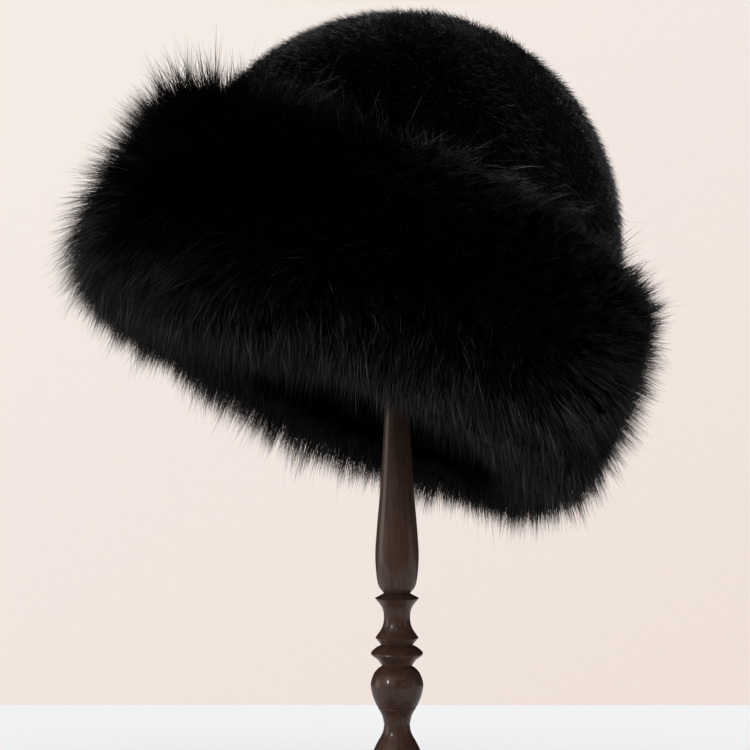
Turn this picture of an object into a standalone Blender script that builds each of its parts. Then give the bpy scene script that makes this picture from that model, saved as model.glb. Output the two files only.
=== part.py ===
"""A black fur hat, tilted on a turned wooden stand.

The hat is a domed crown with a hollow wall and a deep cuff of long fur round it, worked as tapered locks on one
backing ring. The stand is a cap, a turned post and a round foot. Metres, +Z up, the origin at the middle of the
foot's underside. The hat faces -Y and leans towards +X.
"""

import math

import bmesh
import bpy
import numpy as np
from mathutils import Vector

# Fit between touching pieces
GAP = 0.0003

# The hat in its own frame: height is measured up from the edge of the head opening
HAT_SIDES = 44
HAT_DEPTH_RATIO = 1.05
CROWN_WIDEST_HEIGHT = 0.060
CROWN_RADIUS = 0.1057
CROWN_DOME_RISE = 0.1175
OPENING_RADIUS = 0.098
CROWN_WALL = 0.005
DOME_BANDS = 8
DOME_BANDS_INSIDE = 8
SEAT_HEIGHTS = (0.090, 0.060, 0.030, 0.0)

# Where the hat's widest level sits over the stand, and how the hat leans
HAT_CENTRE = Vector((-0.0062, -0.0014, 0.2745))
LEAN_TO_RIGHT = math.radians(25.5)
LEAN_BACK = math.radians(6.0)

# The fur cuff, whose core lies on the crown's wall: a row for each station from its top edge to its lower edge
# columns: core height, core depth, tip height, tip radius
CUFF_STATIONS = (
    (0.090, 0.0000, 0.106, 0.1020),
    (0.088, 0.0074, 0.102, 0.1180),
    (0.080, 0.0119, 0.092, 0.1295),
    (0.068, 0.0136, 0.073, 0.1355),
    (0.052, 0.0146, 0.051, 0.1385),
    (0.036, 0.0158, 0.028, 0.1395),
    (0.020, 0.0160, 0.006, 0.1370),
    (0.008, 0.0132, -0.011, 0.1285),
    (0.001, 0.0075, -0.024, 0.1150),
    (-0.002, 0.0000, -0.028, 0.1030),
)
CUFF_CURVE_STEPS = 24
CUFF_ROWS = 12
LOCK_WAIST_SHARE = 0.68
LOCK_WAIST_HEIGHT = 0.50
LOCK_SHORTEST = 0.82
LOCK_LONGEST = 1.10
LOCK_STRAY = 0.0040
LOCK_SEED = 27

# The stand
STAND_SIDES = 24
POST_TOP_RADIUS = 0.0058
CAP_RADIUS = 0.045
CAP_HEIGHT = 0.034
CAP_SEAT_GAP = 0.0008
FOOT_RADIUS = 0.070
FOOT_HEIGHT = 0.034
TURNING_STEPS = 2

# Outlines of the cap and the foot, as shares of their radius and their height
CAP_DOME = ((0.00, 1.00), (0.40, 0.91), (0.80, 0.60), (1.00, 0.22), (0.86, 0.00))
FOOT_EDGE = ((0.97, 0.00), (1.00, 0.25), (0.95, 0.42))
FOOT_HOLLOW = ((0.90, 0.44), (0.60, 0.55), (0.40, 0.72), (0.33, 1.00))

# The turned post from below upwards, one row of (radius, height) points for each turning,
# with a sharp line between one turning and the next
POST_TURNINGS = {
    "base ring": ((0.0178, 0.0000), (0.0190, 0.0035), (0.0178, 0.0070)),
    "flare": ((0.0150, 0.0080), (0.0099, 0.0190), (0.0067, 0.0245), (0.0058, 0.0282)),
    "ball": (
        (0.0058, 0.0282), (0.0068, 0.0325), (0.0092, 0.0373), (0.0112, 0.0423),
        (0.0122, 0.0470), (0.0108, 0.0522), (0.0090, 0.0548), (0.0068, 0.0565),
    ),
    "ring": ((0.0068, 0.0565), (0.0090, 0.0594), (0.0120, 0.0621), (0.0094, 0.0649), (0.0071, 0.0659)),
    "spool foot": ((0.0071, 0.0659), (0.0099, 0.0694)),
    "spool": ((0.0099, 0.0694), (0.0069, 0.0741), (0.0060, 0.0787), (0.0069, 0.0833), (0.0101, 0.0876)),
    "collar": ((0.0101, 0.0876), (0.0056, 0.0900)),
    "vase": (
        (0.0056, 0.0900), (0.0083, 0.0943), (0.0096, 0.1080), (0.0089, 0.1195),
        (0.0075, 0.1380), (0.0063, 0.1597), (0.0058, 0.1740),
    ),
}


def clear_scene():
    for thing in list(bpy.data.objects):
        bpy.data.objects.remove(thing, do_unlink=True)


def plain_material(name, linear_rgb, roughness):
    material = bpy.data.materials.new(name)
    material.use_nodes = True
    shader = material.node_tree.nodes["Principled BSDF"]
    shader.inputs["Base Color"].default_value = (*linear_rgb, 1.0)
    shader.inputs["Roughness"].default_value = roughness
    shader.inputs["Metallic"].default_value = 0.0
    material.diffuse_color = (*linear_rgb, 1.0)
    return material


def add_object(name, bm, material, parent=None):
    """Closes the work on a mesh: faces out, round stretches smooth, one named object."""
    bmesh.ops.recalc_face_normals(bm, faces=bm.faces)
    mesh = bpy.data.meshes.new(name)
    bm.to_mesh(mesh)
    bm.free()
    mesh.shade_smooth()
    mesh.set_sharp_from_angle(angle=math.radians(35.0))
    mesh.materials.append(material)
    piece = bpy.data.objects.new(name, mesh)
    bpy.context.collection.objects.link(piece)
    piece.parent = parent
    return piece


def smooth_through(points, steps):
    """Points on the smooth curve (Catmull-Rom) that passes through each given point."""
    given = np.array(points, dtype=float)
    padded = np.vstack((2 * given[0] - given[1], given, 2 * given[-1] - given[-2]))
    curve = []
    for first in range(len(given) - 1):
        a, b, c, d = padded[first:first + 4]
        for t in np.arange(steps) / steps:
            bend = (2 * a - 5 * b + 4 * c - d) * t * t + (3 * b - a - 3 * c + d) * t ** 3
            curve.append(0.5 * (2 * b + (c - a) * t + bend))
    curve.append(given[-1])
    return np.array(curve)


def turned_mesh(profile, sides):
    """Turns a (radius, height) profile once round the Z axis."""
    bm = bmesh.new()
    line = [bm.verts.new((radius, 0.0, height)) for radius, height in profile]
    edges = [bm.edges.new(pair) for pair in zip(line, line[1:])]
    bmesh.ops.spin(
        bm, geom=line + edges, cent=(0, 0, 0), axis=(0, 0, 1), angle=math.tau, steps=sides
    )
    bmesh.ops.remove_doubles(bm, verts=bm.verts, dist=0.00001)
    return bm


def crown_radius(height):
    """Outer radius of the crown: an ellipse above its widest level, a slow narrowing below it."""
    if height >= CROWN_WIDEST_HEIGHT:
        rise = (height - CROWN_WIDEST_HEIGHT) / CROWN_DOME_RISE
        return CROWN_RADIUS * math.sqrt(max(0.0, 1.0 - rise * rise))
    share = max(0.0, height) / CROWN_WIDEST_HEIGHT
    return OPENING_RADIUS + (CROWN_RADIUS - OPENING_RADIUS) * math.sin(share * math.pi / 2)


def dome(radius, rise, from_height, bands):
    """(radius, height) points of a dome from a given height up to its top, evenly turned."""
    start = math.asin((from_height - CROWN_WIDEST_HEIGHT) / rise)
    angles = np.linspace(start, math.pi / 2, bands + 1)
    return [(radius * math.cos(a), CROWN_WIDEST_HEIGHT + rise * math.sin(a)) for a in angles]


def crown_profile():
    """From the top of the inner wall down to the opening, across its edge and up the outer wall to the top."""
    inner_dome = dome(
        CROWN_RADIUS - CROWN_WALL, CROWN_DOME_RISE - CROWN_WALL, CROWN_WIDEST_HEIGHT, DOME_BANDS_INSIDE
    )
    inner_foot = [(crown_radius(height) - CROWN_WALL, height) for height in SEAT_HEIGHTS[2:]]
    outer_foot = [(crown_radius(height), height) for height in reversed(SEAT_HEIGHTS[1:])]
    outer_dome = dome(CROWN_RADIUS, CROWN_DOME_RISE, SEAT_HEIGHTS[0], DOME_BANDS)
    return list(reversed(inner_dome)) + inner_foot + outer_foot + outer_dome


def make_crown(parent, material):
    bm = turned_mesh(crown_profile(), HAT_SIDES)
    bmesh.ops.scale(bm, vec=(1.0, HAT_DEPTH_RATIO, 1.0), verts=bm.verts)
    return add_object("crown", bm, material, parent)


def on_hat(radius, height, turn):
    """A point of the hat's oval, with turn counted in sides round from +X."""
    angle = math.tau * turn / HAT_SIDES
    return Vector((radius * math.cos(angle), HAT_DEPTH_RATIO * radius * math.sin(angle), height))


def cuff_stations():
    """Rows of core radius, core height, tip radius and tip height, evenly spaced along the core's curve."""
    height, depth, tip_height, tip_radius = smooth_through(CUFF_STATIONS, CUFF_CURVE_STEPS).T
    radius = np.array([crown_radius(level) for level in height]) + GAP + depth
    walked = np.concatenate(([0.0], np.cumsum(np.hypot(np.diff(radius), np.diff(height)))))
    rows = np.linspace(0.0, walked[-1], CUFF_ROWS + 1)
    curves = (radius, height, tip_radius, tip_height)
    return np.column_stack([np.interp(rows, walked, values) for values in curves])


def cuff_lattice(bm, stations):
    """Rings of points over the cuff's core, every other one half a side on, and the diamonds between them."""
    rings = [
        [bm.verts.new(on_hat(row[0], row[1], side + 0.5 * (ring % 2))) for side in range(HAT_SIDES)]
        for ring, row in enumerate(stations)
    ]
    diamonds = []
    for ring in range(1, CUFF_ROWS):
        for side in range(HAT_SIDES):
            following = (side + 1) % HAT_SIDES
            between = following if ring % 2 else side
            upper, level, lower = rings[ring - 1:ring + 2]
            corners = (upper[between], level[side], lower[between], level[following])
            middle = side + (1.0 if ring % 2 else 0.5)
            diamonds.append((bm.faces.new(corners), ring, middle))
    for edge_ring, next_ring in ((0, 1), (CUFF_ROWS, CUFF_ROWS - 1)):
        for side in range(HAT_SIDES):
            following = (side + 1) % HAT_SIDES
            bm.faces.new((rings[edge_ring][side], rings[edge_ring][following], rings[next_ring][side]))
    return rings, diamonds


def close_cuff_back(bm, top_ring, bottom_ring):
    """The backing: rings that follow the crown's wall a gap away, from the cuff's top to its lower edge."""
    above = top_ring
    backing = [
        [bm.verts.new(on_hat(crown_radius(height) + GAP, height, side)) for side in range(HAT_SIDES)]
        for height in SEAT_HEIGHTS[1:]
    ]
    for below in backing + [bottom_ring]:
        for side in range(HAT_SIDES):
            following = (side + 1) % HAT_SIDES
            bm.faces.new((above[side], above[following], below[following], below[side]))
        above = below


def pull_lock(bm, face, tip):
    """Draws one diamond out into a lock: a narrower waist part of the way, then a point."""
    root = face.calc_center_median()
    cap = bmesh.ops.extrude_discrete_faces(bm, faces=[face])["faces"][0]
    waist = root.lerp(tip, LOCK_WAIST_HEIGHT)
    for corner in cap.verts:
        corner.co = waist + (corner.co - root) * LOCK_WAIST_SHARE
    point = bmesh.ops.poke(bm, faces=[cap])["verts"][0]
    point.co = tip


def make_fur_cuff(parent, material):
    stations = cuff_stations()
    rng = np.random.default_rng(LOCK_SEED)
    bm = bmesh.new()
    rings, diamonds = cuff_lattice(bm, stations)
    close_cuff_back(bm, rings[0], rings[-1])
    bmesh.ops.recalc_face_normals(bm, faces=bm.faces)
    for face, ring, turn in diamonds:
        length = rng.uniform(LOCK_SHORTEST, LOCK_LONGEST)
        stray = Vector(rng.uniform(-LOCK_STRAY, LOCK_STRAY, 3))
        root = face.calc_center_median()
        reach = on_hat(stations[ring][2], stations[ring][3], turn) - root
        pull_lock(bm, face, root + reach * length + stray)
    return add_object("fur_cuff", bm, material, parent)


def highest_inside():
    """Height over the ground of the highest point inside the tilted crown."""
    across = (CROWN_RADIUS - CROWN_WALL) * math.sin(LEAN_TO_RIGHT)
    deep = HAT_DEPTH_RATIO * (CROWN_RADIUS - CROWN_WALL) * math.sin(LEAN_BACK) * math.cos(LEAN_TO_RIGHT)
    up = (CROWN_DOME_RISE - CROWN_WALL) * math.cos(LEAN_BACK) * math.cos(LEAN_TO_RIGHT)
    return HAT_CENTRE.z + math.sqrt(across ** 2 + deep ** 2 + up ** 2)


def outline(shares, radius, height, base):
    """(radius, height) points of a smooth outline given in shares, standing on a base height."""
    curve = smooth_through(shares, TURNING_STEPS)
    return [(radius * across, base + height * up) for across, up in curve]


def make_cap(top, material):
    """A shallow dome with a rounded rim and a flat underside, hidden inside the crown."""
    base = top - CAP_HEIGHT
    profile = outline(CAP_DOME, CAP_RADIUS, CAP_HEIGHT, base) + [(0.0, base)]
    return add_object("stand_cap", turned_mesh(profile, STAND_SIDES), material)


def make_post(top, material):
    """The post, from its flat seat on the foot, through each turning, to its flat top under the cap."""
    base = FOOT_HEIGHT + GAP
    profile = [(0.0, base)]
    for points in POST_TURNINGS.values():
        for radius, height in smooth_through(points, TURNING_STEPS):
            if (radius, base + height) != profile[-1]:
                profile.append((radius, base + height))
    profile += [(POST_TOP_RADIUS, top), (0.0, top)]
    return add_object("stand_post", turned_mesh(profile, STAND_SIDES), material)


def make_foot(material):
    """A round foot: a flat underside, a rounded edge, a hollowed top and a raised seat for the post."""
    edge = outline(FOOT_EDGE, FOOT_RADIUS, FOOT_HEIGHT, 0.0)
    hollow = outline(FOOT_HOLLOW, FOOT_RADIUS, FOOT_HEIGHT, 0.0)
    profile = [(0.0, 0.0)] + edge + hollow + [(0.0, FOOT_HEIGHT)]
    return add_object("stand_foot", turned_mesh(profile, STAND_SIDES), material)


def make_hat():
    tilt = bpy.data.objects.new("hat_tilt", None)
    bpy.context.collection.objects.link(tilt)
    tilt.rotation_euler = (-LEAN_BACK, LEAN_TO_RIGHT, 0.0)
    up = tilt.rotation_euler.to_matrix() @ Vector((0.0, 0.0, 1.0))
    tilt.location = HAT_CENTRE - up * CROWN_WIDEST_HEIGHT
    make_crown(tilt, plain_material("short_black_pile", (0.010, 0.010, 0.011), 0.85))
    make_fur_cuff(tilt, plain_material("long_black_fur", (0.008, 0.008, 0.009), 0.75))


def make_stand():
    cap_top = highest_inside() - CAP_SEAT_GAP
    cap_foot = cap_top - CAP_HEIGHT
    make_cap(cap_top, plain_material("dark_wood_cap", (0.045, 0.028, 0.024), 0.45))
    make_post(cap_foot - GAP, plain_material("dark_wood_post", (0.045, 0.028, 0.024), 0.35))
    make_foot(plain_material("dark_wood_foot", (0.045, 0.028, 0.024), 0.35))


def main():
    clear_scene()
    make_hat()
    make_stand()


main()
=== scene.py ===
# %% [markdown]
# # A black fur hat on a turned wooden stand
#
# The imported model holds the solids: a hollow crown, a deep cuff of fur locks, and a stand of cap,
# post and foot. This notebook gives them their looks. Smooth turned wood takes the place of the
# faceted stand, and many thousands of modelled hairs take the place of the plain crown and cuff.

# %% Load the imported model
import math

import bpy
import numpy as np
from mathutils import Euler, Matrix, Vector


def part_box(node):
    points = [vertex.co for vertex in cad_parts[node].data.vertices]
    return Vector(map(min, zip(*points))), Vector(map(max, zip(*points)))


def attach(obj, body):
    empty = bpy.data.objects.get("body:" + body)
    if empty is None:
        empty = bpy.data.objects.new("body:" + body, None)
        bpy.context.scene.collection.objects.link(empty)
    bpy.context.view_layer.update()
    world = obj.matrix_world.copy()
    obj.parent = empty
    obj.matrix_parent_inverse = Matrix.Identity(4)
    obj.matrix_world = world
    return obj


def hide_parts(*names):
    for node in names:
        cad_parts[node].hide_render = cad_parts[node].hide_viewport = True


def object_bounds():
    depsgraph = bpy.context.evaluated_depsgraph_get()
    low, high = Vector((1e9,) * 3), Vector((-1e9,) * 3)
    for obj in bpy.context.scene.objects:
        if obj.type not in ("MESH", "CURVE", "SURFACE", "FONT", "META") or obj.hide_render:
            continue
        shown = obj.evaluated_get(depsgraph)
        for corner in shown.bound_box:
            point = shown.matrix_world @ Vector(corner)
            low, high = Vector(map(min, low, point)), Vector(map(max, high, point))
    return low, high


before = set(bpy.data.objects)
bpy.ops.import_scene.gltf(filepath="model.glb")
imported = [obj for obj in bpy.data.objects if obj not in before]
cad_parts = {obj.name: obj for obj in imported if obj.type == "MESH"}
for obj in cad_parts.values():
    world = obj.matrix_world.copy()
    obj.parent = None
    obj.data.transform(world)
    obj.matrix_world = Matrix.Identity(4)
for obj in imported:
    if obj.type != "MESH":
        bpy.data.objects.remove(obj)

cad_low, cad_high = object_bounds()
print("CAD box, mm:", [round(1000 * side, 1) for side in cad_high - cad_low])

# %% [markdown]
# ## The camera
#
# The photograph was taken almost level with the hat, from about a metre away: the rims of the
# stand's collars show as thin ellipses, while the hat's own lower edge is seen edge on. A camera
# could be placed by eye, but one that is worked out can be checked. One pixel of the photograph is
# 0.46 mm at the post, so the lens, written in pixels, also gives the distance. A level camera needs
# no shift to keep the post upright.

# %% Set the camera
PHOTO_PIXELS = 750
METRES_PER_PIXEL = 0.00046
LENS_PIXELS = 2000
POST_AXIS_PIXEL = 397
GROUND_PIXEL = 863
SENSOR_WIDTH_MM = 36.0
NEAREST_SEEN = 0.01

scene = bpy.context.scene
camera = bpy.data.objects.new("camera", bpy.data.cameras.new("camera"))
scene.collection.objects.link(camera)
scene.camera = camera
camera.data.sensor_width = SENSOR_WIDTH_MM
camera.data.lens = SENSOR_WIDTH_MM * LENS_PIXELS / PHOTO_PIXELS
camera.data.clip_start = NEAREST_SEEN
camera.location = (
    (PHOTO_PIXELS / 2 - POST_AXIS_PIXEL) * METRES_PER_PIXEL,
    -LENS_PIXELS * METRES_PER_PIXEL,
    (GROUND_PIXEL - PHOTO_PIXELS / 2) * METRES_PER_PIXEL,
)
camera.rotation_euler = (math.radians(90.0), 0.0, 0.0)
print("camera at", [round(value, 3) for value in camera.location], "lens mm", round(camera.data.lens, 1))

# %% [markdown]
# ## Colours and shader nodes
#
# Paint and cloth colours are given as sRGB hex values, the way a screen shows them. Blender's
# sockets want linear light, so one function turns them. Shader nodes could be wired by hand. In a
# script, one function that adds a node with its settings and links keeps a material down to a few
# lines that read like a recipe.

# %% Colour and node helpers
def linear(hex_colour):
    """Linear (r, g, b, 1) of an sRGB hex colour: a straight line near black, above it a power of 2.4."""
    channels = [int(hex_colour[place:place + 2], 16) / 255 for place in (1, 3, 5)]
    return tuple(c / 12.92 if c <= 0.04045 else ((c + 0.055) / 1.055) ** 2.4 for c in channels) + (1.0,)


def add_node(tree, kind, values=None, links=None, **settings):
    """Adds a shader node with its settings. Its sockets, by name or number, get values and links."""
    node = tree.nodes.new(kind)
    for name, value in settings.items():
        setattr(node, name, value)
    for name, value in (values or {}).items():
        node.inputs[name].default_value = value
    for name, source in (links or {}).items():
        tree.links.new(source, node.inputs[name])
    return node


def new_material(name, values):
    """A material, its tree and its Principled shader, whose sockets get what is the same all over."""
    material = bpy.data.materials.new(name)
    material.use_nodes = True
    tree = material.node_tree
    shader = tree.nodes["Principled BSDF"]
    for socket, value in values.items():
        shader.inputs[socket].default_value = value
    return material, tree, shader


print("the middle grey #808080 is", round(linear("#808080")[0], 3), "in linear light")

# %% [markdown]
# ## The wall and the table
#
# The hat stands before a plain warm cream wall, on a paler table whose far edge shows low in the
# picture. A wall could be a second plane, but then a camera behind the hat would see none. So the
# wall is the world's own colour, with painted shade: pale at the upper left and a little darker at
# the lower right, as the light falls off across it.
# Only the camera sees it at full strength. The light that it sheds on the hat is a hundredth of
# that, or black fur would turn grey. The table is a plane 0.88 m deep, which puts its far edge
# where the photograph has it.

# %% Paint the wall with its painted shade, and set the table
WALL_PALE = "#f5ece5"
# Painted shade: the wall is drawn darker towards the lower right, where less light falls on it
WALL_SHADED = "#efe1da"
WALL_SHADED_TOWARDS = (0.5, 0.0, -0.85)
WALL_SPREAD = 0.40
WALL_LIGHT = 0.01
TABLE_COLOUR = "#f6f6f7"
TABLE_ROUGHNESS = 0.8
TABLE_HALF_DEPTH = 0.44
TABLE_HALF_WIDTH = 1.6
# A Mix node's colour sockets share their names with its number sockets, so they go by their places
FIRST_COLOUR, SECOND_COLOUR, MIXED_COLOUR = 6, 7, 2

world = bpy.data.worlds.new("cream_wall")
scene.world = world
world.use_nodes = True
world_tree = world.node_tree
wall = world_tree.nodes["Background"]
seen = add_node(world_tree, "ShaderNodeLightPath")
direction = add_node(world_tree, "ShaderNodeTexCoord")
slope = add_node(world_tree, "ShaderNodeVectorMath", operation="DOT_PRODUCT",
                 values={1: WALL_SHADED_TOWARDS}, links={0: direction.outputs["Generated"]})
place_on_wall = add_node(world_tree, "ShaderNodeMapRange",
                         values={"From Min": -WALL_SPREAD / 2, "From Max": WALL_SPREAD / 2},
                         links={"Value": slope.outputs["Value"]})
# The wall's painted shade, mixed from the pale colour to the shaded one
wall_shading = add_node(world_tree, "ShaderNodeMix", data_type="RGBA",
                 values={FIRST_COLOUR: linear(WALL_PALE), SECOND_COLOUR: linear(WALL_SHADED)},
                 links={0: place_on_wall.outputs["Result"]})
world_tree.links.new(wall_shading.outputs[MIXED_COLOUR], wall.inputs["Color"])
shed = add_node(world_tree, "ShaderNodeMapRange", values={"To Min": WALL_LIGHT, "To Max": 1.0},
                links={"Value": seen.outputs["Is Camera Ray"]})
world_tree.links.new(shed.outputs["Result"], wall.inputs["Strength"])

table_mesh = bpy.data.meshes.new("table")
table_mesh.from_pydata(
    [(-TABLE_HALF_WIDTH, -TABLE_HALF_DEPTH, 0), (TABLE_HALF_WIDTH, -TABLE_HALF_DEPTH, 0),
     (TABLE_HALF_WIDTH, TABLE_HALF_DEPTH, 0), (-TABLE_HALF_WIDTH, TABLE_HALF_DEPTH, 0)],
    [], [(0, 1, 2, 3)],
)
table = bpy.data.objects.new("table", table_mesh)
scene.collection.objects.link(table)
table_values = {"Base Color": linear(TABLE_COLOUR), "Roughness": TABLE_ROUGHNESS}
table_mesh.materials.append(new_material("painted_table", table_values)[0])
print("table", 2 * TABLE_HALF_WIDTH, "m wide and", 2 * TABLE_HALF_DEPTH, "m deep")

# %% [markdown]
# ## The light
#
# Black fur shows its form only where light grazes the hairs from behind and from the side.
# Varnished wood would burn out under such lamps, and the table would be lit unevenly. A studio
# keeps a lamp off the rest with flags. Here each lamp lights one collection, which does the same:
# the hat, the stand or the table. The lamps are softboxes, whose wide faces leave no hard line,
# apart from two small windows that give the varnish its glints.

# %% Hang the lamps
LIT = {group: bpy.data.collections.new("lit_" + group) for group in ("hat", "stand", "table")}
LIT["table"].objects.link(table)

HAT_MIDDLE = (0.0, 0.0, 0.26)
POST_MIDDLE = (0.0, 0.0, 0.08)
TABLE_MIDDLE = (0.0, 0.1, 0.0)
DAYLIGHT = "#ffffff"
WARM = "#fbeee6"
# columns: name, place, what it is aimed at, edge length, watts, colour, what it lights
LAMPS = (
    ("softbox_over_table", (0.0, 0.1, 1.5), TABLE_MIDDLE, 3.2, 56.7, DAYLIGHT, "table"),
    ("softbox_behind", (0.2, 1.5, 1.3), HAT_MIDDLE, 1.2, 19.0, DAYLIGHT, "hat"),
    ("softbox_behind_right", (0.7, 0.9, 1.0), HAT_MIDDLE, 0.4, 1.3, DAYLIGHT, "hat"),
    ("softbox_upper_right", (0.9, 0.25, 1.1), HAT_MIDDLE, 0.4, 1.4, DAYLIGHT, "hat"),
    ("softbox_right", (1.0, 0.30, 0.30), HAT_MIDDLE, 0.4, 1.1, DAYLIGHT, "hat"),
    ("softbox_front_right", (1.0, -0.5, 0.35), HAT_MIDDLE, 0.4, 1.5, DAYLIGHT, "hat"),
    ("stand_softbox_over", (-0.9, -1.2, 1.3), POST_MIDDLE, 2.0, 13.0, WARM, "stand"),
    ("stand_softbox_left", (-1.0, 0.1, 0.15), POST_MIDDLE, 0.5, 2.5, WARM, "stand"),
    ("stand_softbox_right", (1.0, -0.2, 0.20), POST_MIDDLE, 0.5, 0.7, WARM, "stand"),
    ("stand_window", (-1.00, -1.00, 0.75), POST_MIDDLE, 0.19, 7.0, DAYLIGHT, "stand"),
    ("stand_small_window", (0.70, -1.30, 0.60), POST_MIDDLE, 0.10, 0.4, DAYLIGHT, "stand"),
)


def add_lamp(name, place, aim, size, watts, colour, group):
    """A square area light at a place, turned towards its aim, whose light falls on one group alone."""
    light = bpy.data.lights.new(name, "AREA")
    light.size = size
    light.energy = watts
    light.color = linear(colour)[:3]
    lamp = bpy.data.objects.new(name, light)
    scene.collection.objects.link(lamp)
    lamp.location = place
    lamp.rotation_euler = (Vector(aim) - Vector(place)).to_track_quat("-Z", "Y").to_euler()
    lamp.visible_camera = False
    lamp.light_linking.receiver_collection = LIT[group]


for row in LAMPS:
    add_lamp(*row)
# Standard shows the hex colours as they were given
scene.view_settings.view_transform = "Standard"
print(len(LAMPS), "lamps, of", round(sum(row[4] for row in LAMPS), 1), "watts in all")

# %% [markdown]
# ## Meshes from arrays
#
# A surface can be built from thousands of small calls, one for each point, which is slow. Here its
# points are worked out together as one array, and Blender takes the whole array at once. A closed
# skin over rings of points serves all that is round. Each finished mesh then becomes a piece, with
# its finish and its body.

# %% Mesh helpers
def fill_mesh(name, points, corners, sizes):
    """A mesh from its points, one flat array of face corners and the number of corners of each face."""
    mesh = bpy.data.meshes.new(name)
    mesh.vertices.add(len(points))
    mesh.vertices.foreach_set("co", np.ascontiguousarray(points, dtype=np.float32).ravel())
    mesh.loops.add(len(corners))
    mesh.loops.foreach_set("vertex_index", np.ascontiguousarray(corners, dtype=np.int32).ravel())
    mesh.polygons.add(len(sizes))
    mesh.polygons.foreach_set("loop_start", np.concatenate(([0], np.cumsum(sizes)[:-1])).astype(np.int32))
    mesh.polygons.foreach_set("loop_total", np.asarray(sizes, dtype=np.int32))
    mesh.update(calc_edges=True)
    mesh.shade_smooth()
    return mesh


def ring_bands(lower, upper, sides):
    """Four-sided faces between pairs of rings, whose first points have the numbers lower and upper."""
    here = np.arange(sides)
    following = np.roll(here, -1)
    return np.stack((lower + here, lower + following, upper + following, upper + here), axis=-1)


def closed_skin(name, rings, first_pole, last_pole):
    """A closed skin over rings: four-sided faces between two rings, and a fan to a pole at each end."""
    count, sides = rings.shape[:2]
    points = np.vstack((rings.reshape(-1, 3), first_pole, last_pole))
    here = np.arange(sides)
    following = np.roll(here, -1)
    lower = (np.arange(count - 1) * sides)[:, None]
    bands = ring_bands(lower, lower + sides, sides)
    first, last = count * sides, count * sides + 1
    top = (count - 1) * sides
    start = np.stack((np.full(sides, first), following, here), axis=-1)
    end = np.stack((np.full(sides, last), top + here, top + following), axis=-1)
    corners = np.concatenate((bands.ravel(), start.ravel(), end.ravel()))
    sizes = np.concatenate((np.full(bands.size // 4, 4), np.full(2 * sides, 3)))
    return fill_mesh(name, points, corners, sizes)


def add_piece(name, mesh, material, slot, *nodes):
    """Links a finished mesh as a piece: its finish, its lamps, its body and the nodes it stands for."""
    piece = bpy.data.objects.new(name, mesh)
    scene.collection.objects.link(piece)
    LIT["stand" if slot == "dark_wood" else "hat"].objects.link(piece)
    mesh.materials.append(material)
    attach(piece, "root")
    if nodes:
        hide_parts(*nodes)
    mesh.calc_loop_triangles()
    print(name, "has", len(mesh.loop_triangles), "triangles")


print("faces between two rings of 3 points:", ring_bands(0, 3, 3).tolist())

# %% [markdown]
# ## Turning
#
# The stand is turned on a lathe: one outline, carried once round an axis. Blender's Screw modifier
# could do that. Here it is a grid of points with two parameters, the place along the outline and
# the turn round the axis, which closes cleanly at both ends. Inside one turning the outline is
# smooth, and between two turnings there is a crisp line, as a skew chisel leaves it.

# %% Outline and lathe
STAND_SIDES = 72
OUTLINE_STEPS = 7
SHARP_FROM = math.radians(30.0)


def smooth_through(points, steps):
    """Catmull-Rom curve through each given point.

    Between two points it is a cubic. Its slope at each is half the chord between that one's neighbours.
    """
    given = np.array(points, dtype=float)
    padded = np.vstack((2 * given[0] - given[1], given, 2 * given[-1] - given[-2]))
    a, b, c, d = padded[:-3, None], padded[1:-2, None], padded[2:-1, None], padded[3:, None]
    t = (np.arange(steps) / steps)[None, :, None]
    curve = 2 * b + (c - a) * t + (2 * a - 5 * b + 4 * c - d) * t ** 2
    curve = 0.5 * (curve + (3 * b - a - 3 * c + d) * t ** 3)
    return np.vstack((curve.reshape(-1, given.shape[1]), given[-1]))


def lathe(name, profile):
    """Turned piece: for each (r, z) of the outline, the point at turn v is (r cos v, r sin v, z)."""
    radius, height = np.array(profile).T
    turn = np.arange(STAND_SIDES) * math.tau / STAND_SIDES
    rings = np.stack((radius[:, None] * np.cos(turn), radius[:, None] * np.sin(turn),
                      np.repeat(height[:, None], STAND_SIDES, axis=1)), axis=-1)
    mesh = closed_skin(name, rings, (0, 0, height[0]), (0, 0, height[-1]))
    mesh.set_sharp_from_angle(angle=SHARP_FROM)
    return mesh


sample = smooth_through(((0.0, 0.0), (1.0, 0.0), (1.0, 1.0)), OUTLINE_STEPS)
print("a smooth outline through 3 points has", len(sample), "points")

# %% [markdown]
# ## Stained, varnished beech
#
# Hat stands of this kind are turned from beech, stained almost black and varnished by brush. To the
# eye that gives a brown so dark that only the highlights tell its shape, with faint long grain
# along the post, and a gloss that the grain breaks. A picture of wood, wrapped round the post,
# would stretch at each collar. So the grain is noise in the wood's own space, drawn out along the
# post, at beech's own scale of about a millimetre. Varnish has an IOR of 1.5. A brushed coat is
# thin and uneven, so its gloss is set weak.

# %% Varnished beech
STAIN_DARK = "#36251c"
STAIN_LIGHT = "#583f34"
STAIN_DARK_AT, STAIN_LIGHT_AT = 0.12, 0.42
GRAIN_PER_METRE = 900.0
STREAKS_PER_METRE = GRAIN_PER_METRE / 8
GRAIN_STRETCH = 0.05
GRAIN_DETAIL, STREAK_DETAIL = 5.0, 3.0
GRAIN_ROUGHNESS = 0.6
GRAIN_DEPTH = 0.0004
GRAIN_RELIEF = 0.25
WOOD_SMOOTHEST, WOOD_ROUGHEST = 0.42, 0.60
VARNISH_IOR = 1.5
VARNISH_GLOSS = 0.2
COAT_WEIGHT = 0.3
COAT_ROUGHNESS = 0.15


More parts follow.
